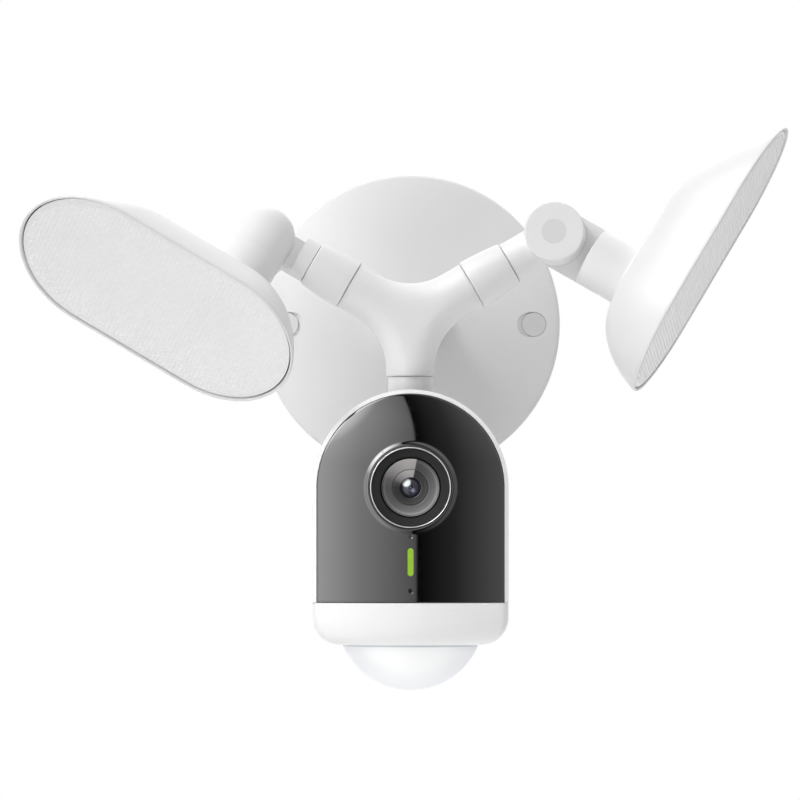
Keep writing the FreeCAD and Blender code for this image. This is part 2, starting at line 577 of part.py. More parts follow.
def make_front_panel():
    half = HEAD_R - PANEL_RIM - 0.15
    slab = arch(half, SEAM_Z + 0.1, HEAD_RIM_Y - 15, 40)
    skin = slab.common(front_body(FRONT_R - 0.1)).cut(front_body(FRONT_R - PANEL_THICK))
    skin = skin.common(block(Vector(-60, -140, -140), Vector(60, HEAD_RIM_Y + 8, 0)))
    holes = [
        rod(LENS + Y * -140, Y, LENS_R, 60),
        obround_hole(STATUS_Z, STATUS_HALF, STATUS_R),
        rod(Vector(0, -140, SENSOR_Z), Y, SENSOR_R, 60),
        rod(Vector(0, -140, MIC_Z), Y, MIC_R, 60),
    ]
    return skin.cut(holes)


def obround_hole(middle, half_length, radius):
    run = half_length - radius
    ends = [rod(Vector(0, -140, middle + side * run), Y, radius, 60) for side in (-1, 1)]
    return join([block(Vector(-radius, -140, middle - run), Vector(radius, -80, middle + run))] + ends)


def plan_outline(z, inset_x, inset_y):
    """The head's outline seen from above at height z, drawn in by the two insets."""
    middle = (FRONT_Y + HEAD_BACK_Y + HEAD_R) / 2
    half_depth = (HEAD_BACK_Y + HEAD_R - FRONT_Y) / 2
    sx, sy = (HEAD_R - inset_x) / HEAD_R, (half_depth - inset_y) / half_depth

    def at(x, y):
        return Vector(x * sx, middle + (y - middle) * sy, z)

    corner = 3.0
    slope = math.asin(HEAD_R / FRONT_R)
    side_y = HEAD_RIM_Y + corner
    front_x = HEAD_R - corner * math.cos(slope)
    front_y = HEAD_RIM_Y - corner * math.sin(slope)
    runs = []

    def through(*points):
        curve = Part.BSplineCurve()
        curve.interpolate([at(*p) for p in points])
        runs.append(curve.toShape())

    steps = [math.radians(a) for a in (0, 22.5, 45, 67.5, 90)]
    arc = [(HEAD_R * math.cos(t), HEAD_BACK_Y + HEAD_R * math.sin(t)) for t in steps]
    shares = [front_x * k for k in (1, 0.66, 0.33, 0)]
    front = [(x, FRONT_AXIS - math.sqrt(FRONT_R ** 2 - x ** 2)) for x in shares]
    through((HEAD_R, HEAD_BACK_Y), *arc[1:])
    through(*[(-x, y) for x, y in reversed(arc)])
    runs.append(Part.LineSegment(at(-HEAD_R, HEAD_BACK_Y), at(-HEAD_R, side_y)).toShape())
    through((-HEAD_R, side_y), (-HEAD_R + 0.75, side_y - 2.1), (-front_x, front[0][1]))
    through(*[(-x, y) for x, y in front])
    through(*reversed(front))
    through((front_x, front[0][1]), (HEAD_R - 0.75, side_y - 2.1), (HEAD_R, side_y))
    runs.append(Part.LineSegment(at(HEAD_R, side_y), at(HEAD_R, HEAD_BACK_Y)).toShape())
    return Part.Wire(runs)


def cover_body(margin):
    """The bottom cover's outside, or with a margin its inside."""
    top = SEAM_Z - SEAM
    shoulder = COVER_BOTTOM_Z + ROUND_Z
    straight = Part.Face(plan_outline(top, margin, margin)).extrude(Z * (shoulder - top))
    rounds = []
    for step in (0, 15, 30, 45, 60, 75, 90):
        t = math.radians(step)
        down, inward = (ROUND_Z - margin) * math.sin(t), 1 - math.cos(t)
        rounds.append(plan_outline(shoulder - down, margin + ROUND_X * inward, margin + ROUND_Y * inward))
    return straight.fuse(Part.makeLoft(rounds, True, False))


def make_bottom_cover():
    body = cover_body(0).cut(cover_body(HEAD_WALL))
    return body.cut(rod(PIR_AXIS + Z * (COVER_BOTTOM_Z - 1), Z, PIR_R - 0.8, 10))


def make_pir_dome():
    ball_r = (PIR_R ** 2 + PIR_DEPTH ** 2) / (2 * PIR_DEPTH)
    lowest = COVER_BOTTOM_Z - PIR_DEPTH
    centre = PIR_AXIS + Z * (lowest + ball_r)
    shell = Part.makeSphere(ball_r, centre).cut(Part.makeSphere(ball_r - 1.5, centre))
    keep = rod(PIR_AXIS + Z * (lowest - 1), Z, PIR_R, PIR_DEPTH + 0.98)
    neck = tube(PIR_AXIS + Z * (COVER_BOTTOM_Z - 0.5), Z, PIR_R - 0.95, PIR_R - 2.6, HEAD_WALL + 0.6)
    return join([shell.common(keep), neck])


def make_lens():
    """Ring, bezel, barrel and glass as (behind the panel's front, radius) outlines about the lens axis."""
    face = FRONT_Y
    crest = turned([(4.0, LENS_R - 0.5), (-1.5, LENS_R - 0.5), (-1.9, LENS_R + 0.1), (-2.0, LENS_R + 0.6),
                    (-1.8, LENS_R + 1.3), (-1.1, LENS_R + 2.2), (-0.2, LENS_R + 3.0), (1.0, LENS_R + 4.0),
                    (2.6, LENS_R + 4.8), (4.0, LENS_R + 5.2)])
    crest = placed(crest, Vector(0, face, LENS_Z), Y, Z).cut(front_body(FRONT_R - 0.1))
    sleeve = placed(turned([(3.0, LENS_R), (3.0, LENS_R - 0.5), (-1.2, LENS_R - 0.5), (-1.2, LENS_R)]),
                    Vector(0, face, LENS_Z), Y, Z)
    bezel = turned([(-1.0, LENS_R - 0.6), (-1.55, LENS_R - 0.75), (-1.55, LENS_R - 1.1), (1.0, LENS_R - 1.9),
                    (1.0, LENS_R - 1.2)])
    barrel = turned([(0.9, 15.8), (-0.4, 15.6), (0.2, 12.8), (1.4, 12.7), (1.6, 12.0), (3.0, 9.4),
                     (3.2, 8.0), (4.4, 7.6), (4.9, 4.6), (14.0, 4.6), (14.0, 11.0), (3.4, 13.4), (1.4, 15.8)])
    ball_r = 8.6
    glass = Part.makeSphere(ball_r, Vector(4.1 + ball_r, 0, 0))
    glass = glass.common(rod(X * 3, X, 4.5, 4.5))
    pieces = {name: placed(shape, Vector(0, face, LENS_Z), Y, Z)
              for name, shape in (("lens_bezel", bezel), ("lens_barrel", barrel), ("lens_glass", glass))}
    pieces["lens_ring"] = join([crest, sleeve])
    return pieces


def make_neck():
    top = -LOWER_LEG_END - SEAM
    spigot_top = -13.0
    body = join([
        rod(Vector(0, ARM_PLANE_Y, top), Z, SPIGOT_R, spigot_top - top),
        rod(Vector(0, ARM_PLANE_Y, top), -Z, NECK_R, top - TILT_Z),
        Part.makeSphere(NECK_R, TILT),
    ])
    flats = [block(Vector(side * 8.5 if side > 0 else -20, -120, TILT_Z - 14),
                   Vector(20 if side > 0 else side * 8.5, -60, TILT_Z + 8)) for side in (-1, 1)]
    groove = tube(Vector(0, ARM_PLANE_Y, SNAP_Z - 0.1), Z, 8.0, SPIGOT_R - 0.6, SNAP_THICK + 0.2)
    return body.cut(flats + [
        groove,
        rod(TILT - X * 20, X, TILT_PIN_R + FIT, 40),
        rod(Vector(0, ARM_PLANE_Y, -41), Z, 3.2, 40),
        rod(Vector(0, ARM_PLANE_Y, -38), Y, 2.6, 15),
    ])


def make_main_board():
    """The board behind the sensor, with three chips on its back."""
    back = MAIN_BOARD_Y + BOARD_THICK

    def chip(x, z, half_wide, half_high, thick):
        return block(Vector(x - half_wide, back, z - half_high),
                     Vector(x + half_wide, back + thick, z + half_high))

    board = block(Vector(-32, MAIN_BOARD_Y, SEAM_Z + 6), Vector(32, back, TILT_Z - 14))
    return join([board, chip(-1, -78, 8, 8, 1.8), chip(18, -80, 6, 4, 1.2), chip(-19.5, -107, 5.5, 5, 1.4)])


def make_camera():
    write("camera_neck", make_neck())
    write("tilt_pin", rod(TILT - X * 13.9, X, TILT_PIN_R, 27.8))
    washers = [tube(TILT + X * start, X, 6.0, TILT_PIN_R, 1.9) for start in (8.6, -10.5)]
    write("tilt_washers", group(washers))
    write("head_housing", make_head_housing())
    write("front_panel", make_front_panel())
    inner = arch(HEAD_R - HEAD_WALL, SEAM_Z - 1, HEAD_RIM_Y - 15, 60)
    rim = arch(HEAD_R - PANEL_RIM - 0.15, SEAM_Z + 0.1, HEAD_RIM_Y - 15, 60)
    band = front_body(FRONT_R - PANEL_THICK - 0.05).cut(front_body(FRONT_R - PANEL_THICK - 0.55))
    front_half = block(Vector(-60, -140, -140), Vector(60, -95, 0))
    write("panel_gasket", rim.cut(inner).common(band).common(front_half))
    for name, shape in make_lens().items():
        write(name, shape)
    board = block(Vector(-14, SENSOR_BOARD_Y, LENS_Z - 12), Vector(14, SENSOR_BOARD_Y + 1.2, LENS_Z + 11))
    write("sensor_board", board)
    bar = obround_hole(STATUS_Z, STATUS_HALF - 0.02, STATUS_R - 0.02)
    write("status_light", bar.common(front_body(FRONT_R + 0.05)).cut(front_body(FRONT_R - 4.0)))
    dot = rod(Vector(0, -140, SENSOR_Z), Y, SENSOR_R - 0.02, 60)
    write("light_sensor", dot.common(front_body(FRONT_R - 0.3)).cut(front_body(FRONT_R - 3.5)))
    write("microphone", rod(Vector(0, FRONT_Y + PANEL_THICK + 0.1, MIC_Z), Y, 2.0, 1.8))
    write("main_board", make_main_board())
    speaker_y = HEAD_BACK_Y + HEAD_R - HEAD_WALL - 3.4
    cone = turned([(0, 0), (0, 10.5), (-2, 10.5), (-5, 7.0), (-9, 7.0), (-9, 0)])
    write("speaker", placed(cone, Vector(0, speaker_y, SPEAKER.z), Y, Z))
    write("bottom_cover", make_bottom_cover())
    write("pir_dome", make_pir_dome())
    pcb_z = COVER_BOTTOM_Z + HEAD_WALL + 0.8
    write("pir_board", rod(PIR_AXIS + Z * pcb_z, Z, 24.0, 1.6))
    sensors = []
    for turn in (-90, 30, 150):
        away = Vector(math.cos(math.radians(turn)), math.sin(math.radians(turn)), 0)
        sensors.append(rod(PIR_AXIS + away * 14 + Z * (pcb_z - 5), Z, 4.2, 5))
    write("pir_sensors", group(sensors))
    cap = rod(BUTTON - Y * 8, Y, BUTTON_R, BUTTON_LONG)
    face = [e for e in cap.Edges if e.BoundBox.YMin > BUTTON.y - 0.9]
    write("reset_button", cap.makeFillet(0.4, face))


os.makedirs("parts", exist_ok=True)
make_base()
make_lights()
make_camera()
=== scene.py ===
import json
import math

import bmesh
import bpy
import numpy as np
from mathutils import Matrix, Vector


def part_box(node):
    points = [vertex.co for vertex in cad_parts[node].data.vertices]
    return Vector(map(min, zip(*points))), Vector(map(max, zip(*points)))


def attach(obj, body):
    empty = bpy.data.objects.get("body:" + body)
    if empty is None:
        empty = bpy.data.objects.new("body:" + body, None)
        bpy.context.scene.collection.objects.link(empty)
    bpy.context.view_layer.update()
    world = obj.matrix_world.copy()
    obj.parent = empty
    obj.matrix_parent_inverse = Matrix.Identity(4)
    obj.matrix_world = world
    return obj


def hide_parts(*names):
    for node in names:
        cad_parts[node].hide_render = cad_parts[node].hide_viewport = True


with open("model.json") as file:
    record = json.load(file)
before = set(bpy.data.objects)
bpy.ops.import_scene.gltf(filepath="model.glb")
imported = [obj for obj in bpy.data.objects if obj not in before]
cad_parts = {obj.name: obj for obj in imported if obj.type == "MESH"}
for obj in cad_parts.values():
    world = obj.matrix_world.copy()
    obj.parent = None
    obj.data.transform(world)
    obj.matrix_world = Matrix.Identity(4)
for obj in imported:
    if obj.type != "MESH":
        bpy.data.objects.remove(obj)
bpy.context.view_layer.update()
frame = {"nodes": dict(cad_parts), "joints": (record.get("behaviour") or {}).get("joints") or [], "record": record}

MM = 0.001
NODES = frame["nodes"]
RECORD = frame["record"]
JOINTS = {joint["name"]: joint for joint in frame["joints"]}
SLOTS = {part["node"]: part["material_slot"] for part in RECORD["subparts"]}
BODY_OF = {node: body for body, nodes in RECORD["behaviour"]["bodies"].items() for node in nodes}


# ---- mesh helpers -------------------------------------------------------------------------------
def mesh_object(name, points, faces):
    """A smooth-shaded object from points in metres."""
    mesh = bpy.data.meshes.new(name)
    mesh.from_pydata([tuple(p) for p in points], [], [tuple(f) for f in faces])
    mesh.validate()
    mesh.update()
    mesh.shade_smooth()
    made = bpy.data.objects.new(name, mesh)
    bpy.context.scene.collection.objects.link(made)
    return made


def ring_faces(count, rings, closed=False):
    """Quads between successive rings of count points each."""
    faces = []
    for r in range(rings if closed else rings - 1):
        here, there = r * count, ((r + 1) % rings) * count
        for k in range(count):
            nxt = (k + 1) % count
            faces.append((here + k, here + nxt, there + nxt, there + k))
    return faces


def face_outwards(made):
    work = bmesh.new()
    work.from_mesh(made.data)
    bmesh.ops.remove_doubles(work, verts=work.verts, dist=1e-7)
    bmesh.ops.recalc_face_normals(work, faces=work.faces)
    work.to_mesh(made.data)
    work.free()
    made.data.shade_smooth()
    return made


class Axes:
    """A right-handed frame: local (x, y, z) in millimetres to a place in metres."""

    def __init__(self, origin, x_axis, z_axis):
        self.origin = Vector(origin)
        self.x = Vector(x_axis).normalized()
        self.z = Vector(z_axis).normalized()
        self.y = self.z.cross(self.x)

    def at(self, x, y, z):
        return self.origin + (self.x * x + self.y * y + self.z * z) * MM


def lathe(name, profile, axes, count=128):
    """A body turned about the frame's X axis from a closed outline of (along, radius)."""
    points = []
    for along, radius in profile:
        for k in range(count):
            turn = 2 * math.pi * k / count
            points.append(axes.at(along, radius * math.cos(turn), radius * math.sin(turn)))
    return face_outwards(mesh_object(name, points, ring_faces(count, len(profile), closed=True)))


def lathe_open(name, profile, axes, count=128):
    """As lathe, for an outline whose two ends lie on the axis."""
    points = [axes.at(profile[0][0], 0, 0), axes.at(profile[-1][0], 0, 0)]
    for along, radius in profile[1:-1]:
        for k in range(count):
            turn = 2 * math.pi * k / count
            points.append(axes.at(along, radius * math.cos(turn), radius * math.sin(turn)))
    rings = len(profile) - 2
    faces = [tuple(i + 2 for i in f) for f in ring_faces(count, rings)]
    last = 2 + (rings - 1) * count
    for k in range(count):
        nxt = (k + 1) % count
        faces.append((0, 2 + nxt, 2 + k))
        faces.append((1, last + k, last + nxt))
    return face_outwards(mesh_object(name, points, faces))


# ---- materials ----------------------------------------------------------------------------------
RING_SPAN = 0.020           # metres from the lens axis that the ramps below cover
# each stop is a distance from the lens axis in millimetres and a grey level; the greys are painted light and shade
# on the rings
RING_TONES = [(0.0, 0.01), (4.4, 0.012), (4.7, 0.06), (6.2, 0.07), (7.4, 0.10), (7.7, 0.004), (8.05, 0.40),
              (8.3, 0.20), (11.0, 0.26), (12.0, 0.50), (12.4, 0.10), (12.75, 0.40), (12.95, 0.003),
              (13.4, 0.003)]
# painted reflection: the sheen's grey levels by distance from the lens axis in millimetres
PAINTED_SHEEN_TONES = [(0.0, 0.3), (4.6, 0.40), (6.5, 0.40), (7.6, 0.46), (8.0, 0.30), (8.4, 0.36),
               (12.3, 0.42), (12.6, 0.60), (12.9, 0.003)]

RING_PAINTED_SHADE_LEAN = (28.0, 0.0, -34.0)              # painted shade, per metre: the rings are painted lighter this way, towards the low right
SHEEN_SLOPE, SHEEN_SHIFT = 0.20, 0.0003     # the painted sheen's right edge: x = slope * z + shift, in metres
SHEEN_SHARPNESS = 2500.0                    # per metre across that edge

PUPIL_SPAN = 0.008          # as RING_SPAN, for the glass
# painted reflections: the glass's faint rings and a bright glint at the centre, as tone levels by distance from
# the axis in millimetres
PUPIL_TONES = [(0.0, 0.5), (0.35, 0.02), (1.1, 0.015), (1.4, 0.10), (1.8, 0.02), (2.9, 0.03),
               (3.3, 0.09), (3.7, 0.03), (4.3, 0.16), (4.5, 0.02)]
# each painted glint is a place beside the axis in millimetres, a colour, and its strength by distance; the glints
# are painted highlights
PUPIL_PAINTED_GLINTS = [(1.1, -1.3, (0.38, 0.36, 0.52, 1), [(0.0, 0.9), (0.6, 0.6), (1.3, 0.0)]),
                (-1.9, 2.3, (0.86, 0.92, 0.93, 1), [(0.0, 1.0), (1.5, 1.0), (2.3, 0.0)])]

DOME_STRETCH = 1.4          # how much sooner the painted edge shade is reached downwards than sideways
DOME_SHADOW_LINE_SPAN = 0.010      # metres below the cover over which the painted shadow line's stops run


class NodeTree:
    """Short ways to add nodes to a material's or the world's tree."""

    def __init__(self, tree):
        self.nodes, self.links = tree.nodes, tree.links

    def feed(self, value, socket):
        """A socket takes another node's output, or a constant."""
        if isinstance(value, bpy.types.NodeSocket):
            self.links.new(value, socket)
        else:
            socket.default_value = value

    def maths(self, kind, *values):
        node = self.nodes.new("ShaderNodeMath")
        node.operation = kind
        for value, socket in zip(values, node.inputs):
            self.feed(value, socket)
        return node.outputs[0]

    def vector_maths(self, kind, *values):
        node = self.nodes.new("ShaderNodeVectorMath")
        node.operation = kind
        for value, socket in zip(values, node.inputs):
            self.feed(value, socket)
        return node.outputs["Value" if kind in ("LENGTH", "DOT_PRODUCT") else "Vector"]

    def split(self, vector):
        node = self.nodes.new("ShaderNodeSeparateXYZ")
        self.links.new(vector, node.inputs[0])
        return node.outputs

    def mix(self, factor, first, second, blend="MIX", data_type="RGBA"):
        node = self.nodes.new("ShaderNodeMix")
        node.data_type = data_type
        node.blend_type = blend
        for name, value in (("Factor", factor), ("A", first), ("B", second)):
            self.feed(value, node.inputs[name])
        return node.outputs["Result"]

    def ramp(self, value, stops):
        node = self.nodes.new("ShaderNodeValToRGB")
        node.color_ramp.elements[0].position, node.color_ramp.elements[0].color = stops[0]
        node.color_ramp.elements[1].position, node.color_ramp.elements[1].color = stops[-1]
        for position, colour in stops[1:-1]:
            node.color_ramp.elements.new(position).color = colour
        self.links.new(value, node.inputs["Fac"])
        return node.outputs["Color"]


class Shader(NodeTree):
    """A principled material with a few procedural textures on the object's own coordinates."""

    def __init__(self, name):
        self.material = bpy.data.materials.new(name)
        self.material.use_nodes = True
        super().__init__(self.material.node_tree)
        self.body = self.nodes["Principled BSDF"]
        self.place = self.nodes.new("ShaderNodeTexCoord").outputs["Object"]

    def set(self, **values):
        for key, value in values.items():
            self.body.inputs[key.replace("_", " ")].default_value = value
        return self

    def noise(self, per_metre, detail=3.0, roughness=0.55):
        node = self.nodes.new("ShaderNodeTexNoise")
        node.inputs["Scale"].default_value = per_metre
        node.inputs["Detail"].default_value = detail
        node.inputs["Roughness"].default_value = roughness
        self.links.new(self.place, node.inputs["Vector"])
        return node.outputs["Fac"]

    def bump(self, height, strength, distance):
        node = self.nodes.new("ShaderNodeBump")
        node.inputs["Strength"].default_value = strength
        node.inputs["Distance"].default_value = distance
        self.links.new(height, node.inputs["Height"])
        self.links.new(node.outputs["Normal"], self.body.inputs["Normal"])

    def link(self, value, socket):
        self.links.new(value, self.body.inputs[socket])

    def from_axis(self, x, z):
        """The offset in metres from a line along Y, without its Y part."""
        return self.vector_maths("MULTIPLY_ADD", self.place, (1.0, 0.0, 1.0), (-x, 0.0, -z))


def grey(level):
    return (level,) * 3 + (1,)


def greys(stops):
    """Ramp stops from (position, grey level) pairs."""
    return [(position, grey(level)) for position, level in stops]


def shade(colour, factor):
    return tuple(min(1.0, c * factor) for c in colour[:3]) + (1.0,)


def grained(name, colour, roughness, metallic=0.0, grain=1400.0, bump=0.1, vary=0.03, blotch=35.0):
    """A moulded, cast or painted surface: slow tone changes, fine grain, uneven gloss."""
    made = Shader(name).set(Metallic=metallic)
    slow = made.noise(blotch, 2.0)
    made.link(made.ramp(slow, [(0.3, shade(colour, 1 - vary)), (0.7, shade(colour, 1 + vary))]), "Base Color")
    fine = made.noise(grain, 4.0, 0.6)
    low, high = max(0.02, roughness - 0.05), roughness + 0.05
    made.link(made.ramp(fine, greys([(0.3, low), (0.7, high)])), "Roughness")
    made.bump(fine, bump, 0.00008)
    return made


def brushed(name, colour, roughness):
    """Rolled or turned metal with fine streaks."""
    made = Shader(name).set(Metallic=1.0)
    wave = made.nodes.new("ShaderNodeTexWave")
    wave.inputs["Scale"].default_value = 900.0
    wave.inputs["Distortion"].default_value = 6.0
    wave.inputs["Detail"].default_value = 3.0
    made.links.new(made.place, wave.inputs["Vector"])
    streak = wave.outputs["Fac"]
    made.link(made.ramp(streak, [(0.0, shade(colour, 0.92)), (1.0, shade(colour, 1.05))]), "Base Color")
    made.link(made.ramp(made.noise(600.0), greys([(0.3, roughness - 0.06), (0.7, roughness + 0.06)])),
              "Roughness")
    made.bump(streak, 0.08, 0.00005)
    return made


def lens_axis_z():
    low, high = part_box("lens_barrel")
    return (low.z + high.z) / 2


def make_baffle_shader():
    """Black glass front element: painted grey rings by distance from the lens axis, with painted shade making them
    lighter low right, and a painted reflection, a brighter sheen above the axis and left of a steep line."""
    made = Shader("lens_rings_painted_shade_and_sheen")
    flat = made.from_axis(0.0, lens_axis_z())
    length = made.vector_maths("LENGTH", flat)
    reach = made.maths("MULTIPLY", length, 1.0 / RING_SPAN)
    # painted light: grey ring tones by distance from the axis stand in for how the rings catch the light
    rings = made.ramp(reach, [(r * MM / RING_SPAN, shade((g, g, g), 1)) for r, g in RING_TONES])
    # painted shade: the rings are painted lighter towards the low right
    lean = made.maths("ADD", made.vector_maths("DOT_PRODUCT", flat, RING_PAINTED_SHADE_LEAN), 0.5)
    side = made.ramp(lean, greys([(0.0, 0.14), (0.5, 0.34), (1.0, 0.85)]))
    painted_shade_rings = made.mix(1.0, rings, side, blend="MULTIPLY")
    x, _, z = made.split(flat)
    # painted reflection: a brighter sheen above the axis and left of a steep line
    past = made.maths("SUBTRACT", made.maths("MULTIPLY_ADD", z, SHEEN_SLOPE, SHEEN_SHIFT), x)
    left = made.ramp(made.maths("MULTIPLY_ADD", past, SHEEN_SHARPNESS, 0.5), greys([(0.0, 0), (1.0, 1)]))
    rise = made.maths("DIVIDE", z, length)
    above = made.ramp(rise, greys([(0.0, 0), (0.35, 0.12), (1.0, 1)]))
    sheen = made.ramp(reach, [(r * MM / RING_SPAN, shade((g, 0.96 * g, 0.96 * g), 1))
                              for r, g in PAINTED_SHEEN_TONES])
    made.link(made.mix(made.maths("MULTIPLY", left, above), painted_shade_rings, sheen), "Base Color")
    made.link(made.ramp(made.noise(2600.0), greys([(0.3, 0.2), (0.7, 0.3)])), "Roughness")
    return made.set(Coat_Weight=0.3, Coat_Roughness=0.02, Specular_IOR_Level=0.2)


def make_pupil_shader():
    """Dark coated glass with painted reflections: faint rings and a glint at the centre, a pale painted highlight
    high left, a dim one low right.
    """
    made = Shader("lens_coating_painted_glints")
    centre = lens_axis_z()

    def away(x, z):
        """Distance from a place beside the axis in millimetres, as a share of the span."""
        length = made.vector_maths("LENGTH", made.from_axis(x * MM, centre + z * MM))
        return made.maths("MULTIPLY", length, 1.0 / PUPIL_SPAN)

    tone = made.ramp(away(0.0, 0.0), [(r * MM / PUPIL_SPAN, (0.85 * g, 0.85 * g, 1.3 * g, 1))
                                      for r, g in PUPIL_TONES])
    # painted highlights: each glint is mixed over the glass's tone
    for x, z, colour, stops in PUPIL_PAINTED_GLINTS:
        spot = made.ramp(away(x, z), greys([(r * MM / PUPIL_SPAN, g) for r, g in stops]))
        tone = made.mix(spot, tone, colour)
    made.link(tone, "Base Color")
    made.link(made.ramp(made.noise(900.0), greys([(0.3, 0.10), (0.7, 0.16)])), "Roughness")
    return made.set(Coat_Weight=0.25, Coat_Roughness=0.01, Specular_IOR_Level=0.25)


def make_dome_shader():
    """Frosted white with painted shade, cooler and darker towards the dome's edge, a painted shadow line where it
    meets the cover, and a faint painted glow.
    """
    made = grained("frosted_dome", (0.97, 0.97, 0.97), 0.42, bump=0.0)
    low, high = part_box("pir_dome")
    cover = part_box("bottom_cover")[0].z
    shift = made.vector_maths("ADD", made.place, (0.0, 0.0, -cover))
    length = made.vector_maths("LENGTH", made.vector_maths("MULTIPLY", shift, (1.0, 0.0, DOME_STRETCH)))
    reach = made.maths("DIVIDE", length, (high.x - low.x) / 2)
    # painted shade: the dome is painted cooler and darker towards its edge
    edge = made.ramp(reach, [(0.0, (0.98, 0.98, 0.98, 1)), (0.55, (0.97, 0.975, 0.98, 1)),
                             (0.85, (0.83, 0.84, 0.87, 1)), (1.0, (0.74, 0.76, 0.80, 1))])
    # painted shadow: a dark line painted just below the cover's edge
    height = made.maths("MULTIPLY_ADD", made.split(shift)[2], 1.0 / DOME_SHADOW_LINE_SPAN, 1.0)
    line = made.ramp(height, [(0.0, (1, 1, 1, 1)), (0.60, (1, 1, 1, 1)), (0.90, (0.86, 0.87, 0.89, 1)),
                              (0.94, (0.45, 0.46, 0.48, 1))])
    made.link(made.mix(1.0, edge, line, blend="MULTIPLY"), "Base Color")
    # painted light: a faint white emission lifts the dome's brightness; the dome is no lamp
    return made.set(Coat_Weight=0.15, Coat_Roughness=0.2, Emission_Color=(1, 1, 1, 1), Emission_Strength=0.14)


def make_materials():
    colour = {m["slot"]: m["base_color"] for m in RECORD["materials"]}
    made = {
        "white_paint": grained("powder_coat_white", colour["white_paint"], 0.42,
                               grain=2600.0, bump=0.10, vary=0.008),
        "white_shell": grained("shell_white", (0.955, 0.955, 0.955), 0.30,
                               grain=3200.0, bump=0.05, vary=0.006),
        "grey_plastic": grained("cap_grey", colour["grey_plastic"], 0.45, grain=2600.0, bump=0.08, vary=0.01),
        "black_plastic": grained("matt_black", colour["black_plastic"], 0.42,
                                 grain=2200.0, bump=0.08, vary=0.2),
        "bright_ring": brushed("polished_ring", colour["bright_ring"], 0.42),
        "rubber": grained("rubber", colour["rubber"], 0.75, grain=1200.0, bump=0.15, vary=0.15),
        "zinc_steel": brushed("zinc_steel", colour["zinc_steel"], 0.32),
        "brass": brushed("brass", colour["brass"], 0.28),
        "nylon": grained("nylon", colour["nylon"], 0.5, vary=0.02),
        "green_screw": grained("green_screw", colour["green_screw"], 0.35, metallic=0.6, vary=0.08),
        "components": grained("component_resin", colour["components"], 0.5,
                              grain=900.0, vary=0.25, blotch=160.0),
        "led_plate": grained("led_plate_white", colour["led_plate"], 0.4, vary=0.02),
        "led_chip": grained("led_phosphor", colour["led_chip"], 0.25, vary=0.05),
    }
    board = grained("solder_mask", colour["circuit_board"], 0.32,
                    grain=700.0, bump=0.2, vary=0.18, blotch=260.0)
    made["circuit_board"] = board
    diffuser = grained("prismatic_lens", (0.94, 0.94, 0.945), 0.34, grain=1500.0, bump=0.05, vary=0.01)
    diffuser.set(Coat_Weight=0.2, Coat_Roughness=0.2)
    made["diffuser"] = diffuser
    made["frosted_dome"] = make_dome_shader()
    gloss = grained("panel_black_gloss", (0.0022, 0.0021, 0.0022), 0.055, grain=500.0, bump=0.0, vary=0.1)
    gloss.set(Coat_Weight=1.0, Coat_Roughness=0.015)
    made["black_gloss"] = gloss
    green = grained("status_green", (0.28, 0.50, 0.022), 0.3, grain=800.0, bump=0.02, vary=0.04)
    green.link(green.ramp(green.noise(60.0), [(0.3, (0.34, 0.70, 0.02, 1)), (0.7, (0.42, 0.76, 0.04, 1))]),
               "Emission Color")
    green.set(Emission_Strength=0.08)
    made["green_light"] = green
    annulus = grained("annulus_black", (0.016, 0.016, 0.0165), 0.55, grain=3000.0, bump=0.12, vary=0.2)
    annulus.set(Specular_IOR_Level=0.2)
    made["lens_annulus"] = annulus
    made["black_plastic_lens"] = make_baffle_shader()
    made["lens_glass"] = make_pupil_shader()
    return {slot: shader.material for slot, shader in made.items()}


MATERIALS = make_materials()


def paint(obj, slot):
    obj.data.materials.clear()
    obj.data.materials.append(MATERIALS[slot])


def dress(piece, node, *also):
    """A finished piece stands for a CAD node, on its body and with its material slot."""
    paint(piece, SLOTS[node])
    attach(piece, BODY_OF[node])
    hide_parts(node, *also)
    return piece


# ---- carried-over CAD nodes ---------------------------------------------------------------------
EDGE_ROUND = {
    "canopy": 0.5, "right_collar": 0.25, "left_collar": 0.25, "right_arm": 0.45, "left_arm": 0.45,
    "camera_neck": 0.3, "head_housing": 0.45, "bottom_cover": 0.35, "screw_caps": 0.2,
    "right_pivot_cap": 0.15, "left_pivot_cap": 0.15, "mounting_bracket": 0.25, "reset_button": 0.15,
    "wall_gasket": 0.3, "terminal_block": 0.3, "canopy_screws": 0.15, "ground_screw": 0.15,
}


def soften(node, width):
    """Merges a CAD node's facets, rounds its edges and shades it smoothly; the mesh itself stays."""
    obj = NODES[node]
    weld = obj.modifiers.new("weld", "WELD")
    weld.merge_threshold = 2e-6
    flat = obj.modifiers.new("flat", "DECIMATE")
    flat.decimate_type = "DISSOLVE"
    flat.angle_limit = math.radians(0.4)
    bevel = obj.modifiers.new("edges", "BEVEL")
    bevel.width = width * MM
    bevel.segments = 3
    bevel.limit_method = "ANGLE"
    bevel.angle_limit = math.radians(32)
    bevel.use_clamp_overlap = True
    normals = obj.modifiers.new("normals", "WEIGHTED_NORMAL")
    normals.keep_sharp = True


for node, obj in NODES.items():
    paint(obj, SLOTS[node])
    if node in EDGE_ROUND:
        soften(node, EDGE_ROUND[node])


# ---- camera, light and floor --------------------------------------------------------------------
ARM_PLANE = Vector(JOINTS["camera_pan"]["pos_m"]).y
LENS_LENGTH = 315.0
STAND_OFF = 3.15
EYE = Vector((-0.0047, ARM_PLANE - STAND_OFF, -0.0758))
AIM = Vector((-0.0047, ARM_PLANE, -0.0357))


